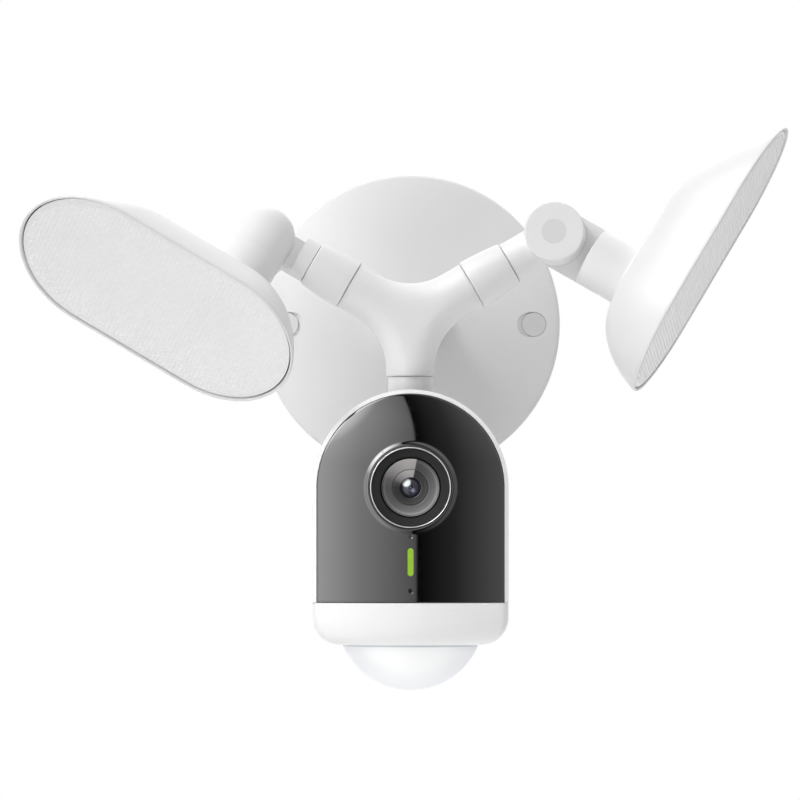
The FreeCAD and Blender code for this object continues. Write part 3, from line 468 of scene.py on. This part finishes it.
def add_camera():
    data = bpy.data.cameras.new("camera")
    data.lens = LENS_LENGTH
    data.sensor_width = 36.0
    data.clip_end = 60.0
    cam = bpy.data.objects.new("camera", data)
    bpy.context.scene.collection.objects.link(cam)
    cam.location = EYE
    cam.rotation_mode = "QUATERNION"
    cam.rotation_quaternion = (AIM - EYE).to_track_quat("-Z", "Y")
    bpy.context.scene.camera = cam


def add_light(name, place, aim, size, power):
    data = bpy.data.lights.new(name, "AREA")
    data.shape = "DISK"
    data.size = size
    data.energy = power
    lamp = bpy.data.objects.new(name, data)
    bpy.context.scene.collection.objects.link(lamp)
    lamp.location = Vector(place)
    lamp.rotation_mode = "QUATERNION"
    lamp.rotation_quaternion = (Vector(aim) - lamp.location).to_track_quat("-Z", "Y")
    lamp.visible_glossy = False
    lamp.visible_camera = False


def add_floor():
    """A pale disc below the object, out of the main view."""
    drop, radius, count = -0.42, 1.3, 96
    points = [(0, 0, drop)]
    points += [(radius * math.cos(2 * math.pi * k / count), radius * math.sin(2 * math.pi * k / count), drop)
               for k in range(count)]
    floor = mesh_object("floor", points, [(0, 1 + k, 1 + (k + 1) % count) for k in range(count)])
    floor.data.materials.append(grained("floor_white", (0.86, 0.86, 0.86), 0.6, bump=0.02).material)
    floor.visible_glossy = False


# reflections: GLOSS_STOPS run from behind the object by its left side to the camera, and on by its right
# side to behind; the bright half ends at 0.5, which stands EDGE_AZIMUTH right of the camera and leans
# left higher up. GLOSS_RISE_STOPS run from straight below to straight above.
EDGE_AZIMUTH = math.radians(3.7)
EDGE_LEAN = 0.31
GLOSS_SCALE = 8.4
GLOSS_STOPS = [(0.0, 0.25), (0.1, 0.2), (0.2, 0.1), (0.29, 0.4), (0.36, 0.62), (0.42, 0.35), (0.4999, 0.14),
               (0.5, 0.0), (0.55, 0.03), (0.64, 0.16), (0.7, 0.1), (0.9, 0.2), (1.0, 0.25)]
GLOSS_RISE_STOPS = [(0.0, 0.357), (0.3, 0.571), (0.5, 0.714), (0.6, 0.714), (0.78, 1.0), (1.0, 1.0)]
SPOT_WAY = (-0.62, -0.36, 0.70)
SPOT_STOPS = [(0.0, 0.0), (0.88, 0.0), (0.985, 1.0), (1.0, 1.0)]
SPOT_LEVEL = 6.5
# the soft light is a plain slope over the sky: by side, by height and towards the camera
SOFT_SIDE, SOFT_UP, SOFT_FRONT, SOFT_BASE = -0.16, 0.24, 0.05, 0.36
SOFT_LEAST = 0.05


def add_studio():
    """A white studio: soft light that falls off to the right and below, and for reflections a
    bright left half whose edge stands just right of the camera, and a round spot high left."""
    world = bpy.data.worlds.new("studio")
    bpy.context.scene.world = world
    world.use_nodes = True
    tree = NodeTree(world.node_tree)
    tree.nodes.clear()
    place = tree.nodes.new("ShaderNodeTexCoord").outputs["Generated"]
    x, y, z = tree.split(place)
    forward = tree.maths("MULTIPLY", y, -1.0)
    azimuth = tree.maths("ARCTAN2", x, forward)
    rise = tree.maths("MAXIMUM", tree.maths("ARCSINE", z), 0.0)
    rise_square = tree.maths("MULTIPLY", rise, rise)
    lean = tree.maths("MULTIPLY", tree.maths("MULTIPLY", rise_square, rise_square), EDGE_LEAN)
    beyond = tree.maths("SUBTRACT", azimuth, tree.maths("SUBTRACT", EDGE_AZIMUTH, lean))
    turn = tree.maths("ADD", tree.maths("DIVIDE", beyond, 2 * math.pi), 0.5)
    gloss = tree.ramp(turn, greys(GLOSS_STOPS))
    low = tree.ramp(tree.maths("MULTIPLY_ADD", z, 0.5, 0.5), greys(GLOSS_RISE_STOPS))
    card = tree.maths("MULTIPLY", tree.maths("MULTIPLY", gloss, low), GLOSS_SCALE)
    aimed = tree.vector_maths("DOT_PRODUCT", place, Vector(SPOT_WAY).normalized())
    gloss_strength = tree.maths("MULTIPLY_ADD", tree.ramp(aimed, greys(SPOT_STOPS)), SPOT_LEVEL, card)
    side = tree.maths("MULTIPLY", x, SOFT_SIDE)
    up = tree.maths("MULTIPLY", z, SOFT_UP)
    front = tree.maths("MULTIPLY", forward, SOFT_FRONT)
    slope = tree.maths("ADD", tree.maths("ADD", side, up), tree.maths("ADD", front, SOFT_BASE))
    soft = tree.maths("MAXIMUM", slope, SOFT_LEAST)
    path = tree.nodes.new("ShaderNodeLightPath")
    strength = tree.mix(path.outputs["Is Glossy Ray"], soft, gloss_strength, data_type="FLOAT")
    seen = tree.mix(path.outputs["Is Camera Ray"], strength, 1.0, data_type="FLOAT")
    background = tree.nodes.new("ShaderNodeBackground")
    background.inputs["Color"].default_value = (1, 1, 1, 1)
    tree.links.new(seen, background.inputs["Strength"])
    output = tree.nodes.new("ShaderNodeOutputWorld")
    tree.links.new(background.outputs[0], output.inputs["Surface"])
    scene = bpy.context.scene
    scene.view_settings.view_transform = "Standard"
    scene.view_settings.look = "None"


add_camera()
add_floor()
add_studio()
add_light("key", (-2.1, -1.6, 2.5), (0, -0.1, -0.02), 1.2, 52.0)
add_light("rim", (0.75, 0.25, 1.5), (0, -0.1, 0), 0.8, 6.5)
add_light("low_fill", (0.0, -0.66, -0.46), (0, -0.1, -0.17), 0.3, 1.7)


# ---- camera head: glossy panel with its raised lens collar --------------------------------------
PANEL_LOW, PANEL_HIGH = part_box("front_panel")
PANEL_HALF = (PANEL_HIGH.x - PANEL_LOW.x) / 2
LENS_CENTRE_Z = PANEL_HIGH.z - PANEL_HALF
FRONT_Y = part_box("bottom_cover")[0].y
FRONT_R = 105.0 * MM            # the panel's curve, as in the CAD model
COLLAR_BORE = 18.1 * MM
COLLAR_CREST = 19.0 * MM
COLLAR_FOOT = 21.0 * MM
COLLAR_RISE = 0.62 * MM


def panel_depth(x, z):
    """The front surface's Y: a ball above the lens axis, an upright cylinder below it."""
    above = max(0.0, z - LENS_CENTRE_Z)
    return FRONT_Y + FRONT_R - math.sqrt(FRONT_R ** 2 - x * x - above * above)


def collar_rise(radius):
    """How far the soft collar stands out of the panel at a distance from the lens axis."""
    if radius >= COLLAR_FOOT:
        return 0.0
    if radius >= COLLAR_CREST:
        t = (COLLAR_FOOT - radius) / (COLLAR_FOOT - COLLAR_CREST)
        return COLLAR_RISE * t * t * (3 - 2 * t)
    t = (COLLAR_CREST - radius) / (COLLAR_CREST - COLLAR_BORE)
    return COLLAR_RISE * (1 - 0.6 * t * t)


def panel_edge(turn):
    """Distance from the lens axis to the panel's edge, in the direction turn from +X."""
    half, c, s = PANEL_HALF, math.cos(turn), math.sin(turn)
    if s >= 0:
        return half
    reach = [(LENS_CENTRE_Z - PANEL_LOW.z) / -s]
    if abs(c) > 1e-9:
        reach.append(half / abs(c))
    return min(reach)


def pierce(panel, place, radius):
    """Cuts a small round hole through the panel at a place behind it."""
    axes = Axes((place.x, FRONT_Y, place.z), (0, 1, 0), (0, 0, 1))
    cutter = lathe_open("cutter", [(-3, 0), (-3, radius), (6, radius), (6, 0)], axes, 32)
    hole = panel.modifiers.new("hole", "BOOLEAN")
    hole.object = cutter
    hole.solver = "EXACT"
    bpy.context.view_layer.update()
    panel.data = bpy.data.meshes.new_from_object(panel.evaluated_get(bpy.context.evaluated_depsgraph_get()))
    panel.modifiers.clear()
    bpy.data.objects.remove(cutter)


def make_front_panel():
    corner = math.atan2(LENS_CENTRE_Z - PANEL_LOW.z, PANEL_HALF)
    turns = np.linspace(0, math.pi, 120, endpoint=False).tolist()
    turns += np.linspace(math.pi, math.pi + corner, 40, endpoint=False).tolist()
    turns += np.linspace(math.pi + corner, 2 * math.pi - corner, 60, endpoint=False).tolist()
    turns += np.linspace(2 * math.pi - corner, 2 * math.pi, 40, endpoint=False).tolist()
    inner = np.linspace(COLLAR_BORE, COLLAR_FOOT, 44).tolist()
    spread = np.linspace(0, 1, 34)[1:].tolist()
    lip = 0.35 * MM
    points = []

    def ring(radius_at, back):
        for turn in turns:
            radius = radius_at(turn)
            x, z = radius * math.cos(turn), LENS_CENTRE_Z + radius * math.sin(turn)
            points.append((x, panel_depth(x, z) - collar_rise(radius) + back, z))

    thick = 2.0 * MM
    ring(lambda turn: COLLAR_BORE, thick + COLLAR_RISE)
    for radius in inner:
        ring(lambda turn: radius, 0.0)
    for share in spread:
        ring(lambda turn: COLLAR_FOOT + (panel_edge(turn) - lip - COLLAR_FOOT) * share, 0.0)
    for step in (30, 60, 90):
        t = math.radians(step)
        ring(lambda turn: panel_edge(turn) - lip + lip * math.sin(t), lip * (1 - math.cos(t)))
    ring(panel_edge, thick)
    rings = len(points) // len(turns)
    faces = ring_faces(len(turns), rings, closed=True)
    panel = face_outwards(mesh_object("front_panel_gloss", points, faces))
    for node, radius in (("microphone", 1.0), ("light_sensor", 0.75)):
        low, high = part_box(node)
        pierce(panel, (low + high) / 2, radius)
    return dress(panel, "front_panel", "lens_ring")


make_front_panel()


# ---- camera lens --------------------------------------------------------------------------------
def lens_axes():
    return Axes((0.0, FRONT_Y, lens_axis_z()), (0, 1, 0), (0, 0, 1))


def fine_rings(start, end, along0, along1, count, depth):
    """Concentric steps from one radius to another, as a moulded lens baffle has."""
    out = []
    for i in range(count):
        t0, t1 = i / count, (i + 0.55) / count
        out.append((along0 + (along1 - along0) * t0, start + (end - start) * t0))
        out.append((along0 + (along1 - along0) * t0 + depth, start + (end - start) * (t0 + 0.1 / count)))
        out.append((along0 + (along1 - along0) * t1 + depth, start + (end - start) * t1))
    return out


def make_lens():
    axes = lens_axes()
    barrel = [(13.8, 11.0), (13.8, 13.0), (1.0, 13.25), (1.0, 12.98), (-0.25, 12.9), (-0.42, 12.75),
              (-0.42, 12.6), (-0.3, 12.45)]
    barrel += fine_rings(12.3, 8.3, -0.32, -1.2, 9, 0.035)
    barrel += [(-1.15, 8.15), (-0.75, 8.08), (-0.75, 7.85), (-1.3, 7.75)]
    barrel += fine_rings(7.6, 4.75, -1.32, -1.6, 6, 0.035)
    barrel += [(-1.5, 4.65), (-0.9, 4.55), (13.8, 4.55)]
    made = dress(lathe("lens_baffle", barrel, axes, 192), "lens_barrel")
    made.data.materials.clear()
    made.data.materials.append(MATERIALS["black_plastic_lens"])
    made.modifiers.new("edges", "WEIGHTED_NORMAL").keep_sharp = False
    plate = [(2.2, 13.4), (2.2, 17.3), (0.6, 17.42), (0.05, 17.35)]
    plate += fine_rings(17.2, 13.6, 0.0, 0.0, 8, 0.05)
    plate += [(0.1, 13.48)]
    annulus = lathe("lens_annulus", plate, axes, 192)
    paint(annulus, "lens_annulus")
    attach(annulus, BODY_OF["lens_barrel"])
    ring = []
    for step in range(0, 360, 30):
        turn = math.radians(step)
        ring.append((-0.25 + 0.55 * math.cos(turn), 17.72 + 0.30 * math.sin(turn)))
    ring = [point if point[0] < 0 else (2.0, point[1]) for point in ring]
    dress(lathe("lens_bezel_ring", ring, axes, 192), "lens_bezel")
    radius, rim, nose = 5.0, 4.5, -2.3
    dome = [(nose, 0.0)]
    for step in range(1, 15):
        turn = math.asin(rim / radius) * step / 14
        dome.append((nose + radius * (1 - math.cos(turn)), radius * math.sin(turn)))
    dome += [(7.4, rim), (7.4, 0.0)]
    dress(lathe_open("lens_dome", dome, axes, 96), "lens_glass")


make_lens()


# ---- lamps --------------------------------------------------------------------------------------
NECK_R = 13.5
NECK_SHOULDER = 18.5
LAMP_FACE = 66.2
LAMP_BACK = 37.8
LAMP_BAND = 0.8
LAMP_LOW, LAMP_HIGH, LAMP_HALF = -42.8, 94.0, 39.6
LAMP_RIM = 1.2
SEAT_DEPTH = 1.6
GROOVE = 0.75
PRISM_PITCH, PRISM_HEIGHT, PRISM_BORDER = 1.9, 0.60, 0.9
DIFFUSER_STAND = 0.42           # the diffuser's back above the seat
DIFFUSER_SUNK = 0.65            # the diffuser's face under the rim, a little more than a prism's height
PRISM_LIFT = 0.005              # keeps the prisms' feet off the plate
KNUCKLE_GAP = 0.1               # the tab's flat face stops short of the arm's
DRAW_SHORT, DRAW_LONG, DRAW_SIDE = (27.0, 0.30), (45.0, 0.60), (25.0, 0.44)


def lamp_axes(side):
    """The lamp's frame: X along the neck away from the pin, Y to the long end, Z along the pin."""
    tilt = JOINTS[side + "_lamp_tilt"]
    pin, pin_axis = Vector(tilt["pos_m"]), -Vector(tilt["axis"])
    plate = NODES[side + "_diffuser"]
    places = np.array([v.co for v in plate.data.vertices])
    middle = (places.max(0) + places.min(0)) / 2
    centred = places - places.mean(0)
    neck = Vector(np.linalg.svd(centred, full_matrices=False)[2][2])
    if neck.dot(Vector(middle) - pin) < 0:
        neck = -neck
    return Axes(pin, neck, pin_axis)


def stadium(low, high, half, arc=72, run=20):
    """Points round a stadium, from its low end's lower corner on."""
    points = []
    start, end = low + half, high - half
    for k in range(arc):
        turn = -math.pi / 2 - math.pi * k / arc
        points.append((start + half * math.cos(turn), half * math.sin(turn)))
    for k in range(run):
        points.append((start + (end - start) * k / run, half))
    for k in range(arc):
        turn = math.pi / 2 - math.pi * k / arc
        points.append((end + half * math.cos(turn), half * math.sin(turn)))
    for k in range(run):
        points.append((end - (end - start) * k / run, -half))
    return points


def draw(pair, f):
    amount, straight = pair
    return amount * (straight * f + (1 - straight) * (1 - math.sqrt(max(0.0, 1 - f * f))))


def shell_section(f):
    return (LAMP_LOW + draw(DRAW_SHORT, f), LAMP_HIGH - draw(DRAW_LONG, f), LAMP_HALF - draw(DRAW_SIDE, f))


def make_lamp_shell(side, axes):
    """Neck, bowl and rim as one skin of stadium sections, and the thumb of the knuckle."""
    sections = []

    def add(x, section):
        sections.append((x, section))

    def neck(radius):
        return (-radius, radius, radius)

    edge, fillet, pinhole = 0.35, 1.6, 0.02
    add(NECK_SHOULDER, neck(pinhole))
    add(NECK_SHOULDER, neck(NECK_R - 3.0))
    for step in range(0, 91, 22):
        t = math.radians(step)
        add(NECK_SHOULDER + edge * (1 - math.cos(t)), neck(NECK_R - edge + edge * math.sin(t)))
    add(LAMP_BACK - fillet - 6.0, neck(NECK_R))
    back = shell_section(1.0)
    for step in range(0, 91, 15):
        t = math.radians(step)
        grow = 1 - math.cos(t)
        low = -NECK_R - fillet * grow
        high = NECK_R + fillet * grow
        half = NECK_R + 0.6 * grow
        add(LAMP_BACK - fillet + fillet * math.sin(t), (low, high, half))
    middle = sections[-1][1]
    for share in (0.35, 0.7):
        add(LAMP_BACK, tuple(a + (b - a) * share for a, b in zip(middle, back)))
    depth = LAMP_FACE - LAMP_BAND - LAMP_BACK
    for step in range(90, -1, -3):
        f = math.sin(math.radians(step))
        add(LAMP_FACE - LAMP_BAND - depth * f, shell_section(f))

    def rim(x, inset):
        add(x, (LAMP_LOW + inset, LAMP_HIGH - inset, LAMP_HALF - inset))

    round_out, round_in = 0.45, 0.3
    for step in range(0, 91, 18):
        t = math.radians(step)
        rim(LAMP_FACE - round_out + round_out * math.sin(t), round_out * (1 - math.cos(t)))
    for step in range(0, 91, 30):
        t = math.radians(step)
        rim(LAMP_FACE - round_in * (1 - math.cos(t)), LAMP_RIM - round_in + round_in * math.sin(t))
    rim(LAMP_FACE - SEAT_DEPTH, LAMP_RIM)
    rim(LAMP_FACE - SEAT_DEPTH, LAMP_RIM + 6.0)
    rim(LAMP_FACE - SEAT_DEPTH, LAMP_HALF - 0.05)
    points, count = [], len(stadium(*shell_section(0.0)))
    for x, section in sections:
        points += [axes.at(x, y, z) for y, z in stadium(*section)]
    faces = ring_faces(count, len(sections))
    faces.append(tuple(range(count)))
    last = (len(sections) - 1) * count
    faces.append(tuple(last + k for k in reversed(range(count))))
    shell = face_outwards(mesh_object(side + "_lamp_shell", points, faces))
    dress(shell, side + "_lamp_housing")
    thumb = make_thumb(side, axes)
    paint(thumb, SLOTS[side + "_lamp_housing"])
    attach(thumb, BODY_OF[side + "_lamp_housing"])


def make_thumb(side, axes):
    """The half-lap tab: a half-round bar with a round end, its flat face towards the arm."""
    edge = 0.5
    arcs, rows = 40, []

    def half_ring(radius):
        """Across the bar: a half circle below the flat face."""
        out = []
        for k in range(arcs + 1):
            turn = math.pi * k / arcs
            out.append((-radius * math.cos(turn), -radius * math.sin(turn)))
        return out

    for x in (NECK_SHOULDER + 1.0, NECK_SHOULDER * 0.66, NECK_SHOULDER * 0.33, 0.0):
        rows.append([(x, y, z) for y, z in half_ring(NECK_R)])
    for step in range(6, 91, 6):
        t = math.radians(min(step, 89.5))
        # the ball end's rows shrink towards the bar's axis
        rows.append([(-NECK_R * math.sin(t), y * math.cos(t), z * math.cos(t)) for y, z in half_ring(NECK_R)])
    points, faces = [], []
    width = arcs + 1
    for row in rows:
        for x, y, z in row:
            points.append(axes.at(x, y, min(z, -KNUCKLE_GAP)))
    for r in range(len(rows) - 1):
        for k in range(arcs):
            a = r * width + k
            faces.append((a, a + 1, a + 1 + width, a + width))
    # the flat face closes the two long edges
    for r in range(len(rows) - 1):
        a, b = r * width, r * width + arcs
        faces.append((a, a + width, b + width, b))
    faces.append(tuple(range(width)))
    thumb = face_outwards(mesh_object(side + "_knuckle_thumb", points, faces))
    bevel = thumb.modifiers.new("edges", "BEVEL")
    bevel.width = edge * MM
    bevel.segments = 3
    bevel.limit_method = "ANGLE"
    bevel.angle_limit = math.radians(50)
    thumb.modifiers.new("normals", "WEIGHTED_NORMAL")
    return thumb


def make_diffuser(side, axes):
    """A plate with a rounded edge, its face covered in staggered rows of small pyramids."""
    inset = LAMP_RIM + GROOVE
    low, high, half = LAMP_LOW + inset, LAMP_HIGH - inset, LAMP_HALF - inset
    top = LAMP_FACE - DIFFUSER_SUNK
    count = len(stadium(low, high, half))
    points = []
    edge = 0.25
    sections = [(LAMP_FACE - SEAT_DEPTH + DIFFUSER_STAND, 0.0)]
    for step in range(0, 91, 30):
        t = math.radians(step)
        sections.append((top - edge + edge * math.sin(t), edge * (1 - math.cos(t))))
    sections.append((top, 1.0))
    for x, draw_in in sections:
        points += [axes.at(x, y, z) for y, z in stadium(low + draw_in, high - draw_in, half - draw_in)]
    faces = ring_faces(count, len(sections))
    faces.append(tuple(range(count)))
    faces.append(tuple((len(sections) - 1) * count + k for k in reversed(range(count))))
    plate = face_outwards(mesh_object(side + "_diffuser_plate", points, faces))
    dress(plate, side + "_diffuser")

    pitch = PRISM_PITCH
    base = top + PRISM_LIFT
    start, end, reach = low + half, high - half, half - PRISM_BORDER

    def inside(y, z):
        nearest = min(max(y, start), end)
        return math.hypot(y - nearest, z) <= reach

    index, points, faces = {}, [], []

    def vertex(y, z, x):
        key = (round(y, 3), round(z, 3), round(x, 3))
        if key not in index:
            index[key] = len(points)
            points.append(axes.at(x, y, z))
        return index[key]

    columns, rows = int((high - low) / pitch) + 1, int(2 * half / pitch) + 2
    for i in range(columns):
        for j in range(rows):
            y0, z0 = low + i * pitch, -half + (j - 0.5 * (i % 2)) * pitch
            corners = [(y0, z0), (y0 + pitch, z0), (y0 + pitch, z0 + pitch), (y0, z0 + pitch)]
            if not all(inside(y, z) for y, z in corners):
                continue
            tip = vertex(y0 + pitch / 2, z0 + pitch / 2, base + PRISM_HEIGHT)
            ring = [vertex(y, z, base) for y, z in corners]
            for k in range(4):
                faces.append((ring[k], ring[(k + 1) % 4], tip))
    prisms = mesh_object(side + "_diffuser_prisms", points, faces)
    prisms.data.shade_flat()
    paint(prisms, SLOTS[side + "_diffuser"])
    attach(prisms, BODY_OF[side + "_diffuser"])


for side in ("right", "left"):
    lamp = lamp_axes(side)
    make_lamp_shell(side, lamp)
    make_diffuser(side, lamp)


# ---- three-way arm body -------------------------------------------------------------------------
VOXEL = 0.55
SEAM_REACH, SEAM_FADE = 27.0, 8.0           # full smoothing ends SEAM_FADE inside SEAM_REACH of the hub
FLOOR_WEIGHT = 0.35                         # every point takes this much of the first passes
ALL_OVER_PASSES, SEAM_PASSES = 6, 60        # the second count includes the first
SHRINK, SWELL = 0.5, -0.47                  # passes alternate, so the casting keeps its thickness
PAD_DEPTH, PAD_FADE = 4.5, 3.0              # in front of the arms' plane
PAD_REACH, PAD_REACH_FADE = 19.0, 6.0       # round the hub's axis
PAD_PASSES, PAD_SHARE = 90, 0.5


def make_arm_body():
    """The casting, with the seams between its legs worked smooth where they meet."""
    source = NODES["y_body"]
    mesh = source.data.copy()
    body = bpy.data.objects.new("arm_casting", mesh)
    bpy.context.scene.collection.objects.link(body)
    remesh = body.modifiers.new("remesh", "REMESH")
    remesh.mode = "VOXEL"
    remesh.voxel_size = VOXEL * MM
    bpy.context.view_layer.update()
    fine = bpy.data.meshes.new_from_object(body.evaluated_get(bpy.context.evaluated_depsgraph_get()))
    body.modifiers.clear()
    body.data = fine
    count = len(fine.vertices)
    places = np.empty(count * 3)
    fine.vertices.foreach_get("co", places)
    places = places.reshape(-1, 3)
    ends = np.empty(len(fine.edges) * 2, int)
    fine.edges.foreach_get("vertices", ends)
    ends = ends.reshape(-1, 2)
    hub = np.array(JOINTS["right_arm_swivel"]["pos_m"])
    away = np.linalg.norm(places - hub, axis=1) / MM
    weight = np.maximum(np.clip((SEAM_REACH - away) / SEAM_FADE, 0.0, 1.0), FLOOR_WEIGHT)
    sharp = away > SEAM_REACH
    degree = np.bincount(ends.ravel(), minlength=count).reshape(-1, 1)
    for turn in range(SEAM_PASSES):
        total = np.zeros_like(places)
        for axis in range(3):
            total[:, axis] = (np.bincount(ends[:, 0], places[ends[:, 1], axis], count)
                              + np.bincount(ends[:, 1], places[ends[:, 0], axis], count))
        mean = total / np.maximum(degree, 1)
        share = weight if turn < ALL_OVER_PASSES else np.where(sharp, 0.0, weight)
        sign = SHRINK if turn % 2 == 0 else SWELL
        places += (mean - places) * (share * sign).reshape(-1, 1)
    front = np.clip((ARM_PLANE * 1000 - PAD_DEPTH - places[:, 1] / MM) / PAD_FADE, 0.0, 1.0)
    near = np.clip((PAD_REACH - np.hypot(places[:, 0], places[:, 2]) / MM) / PAD_REACH_FADE, 0.0, 1.0)
    for turn in range(PAD_PASSES):
        total = (np.bincount(ends[:, 0], places[ends[:, 1], 1], count)
                 + np.bincount(ends[:, 1], places[ends[:, 0], 1], count))
        places[:, 1] += (total / np.maximum(degree[:, 0], 1) - places[:, 1]) * PAD_SHARE * front * near
    fine.vertices.foreach_set("co", places.ravel())
    fine.update()
    fine.shade_smooth()
    dress(body, "y_body")


make_arm_body()
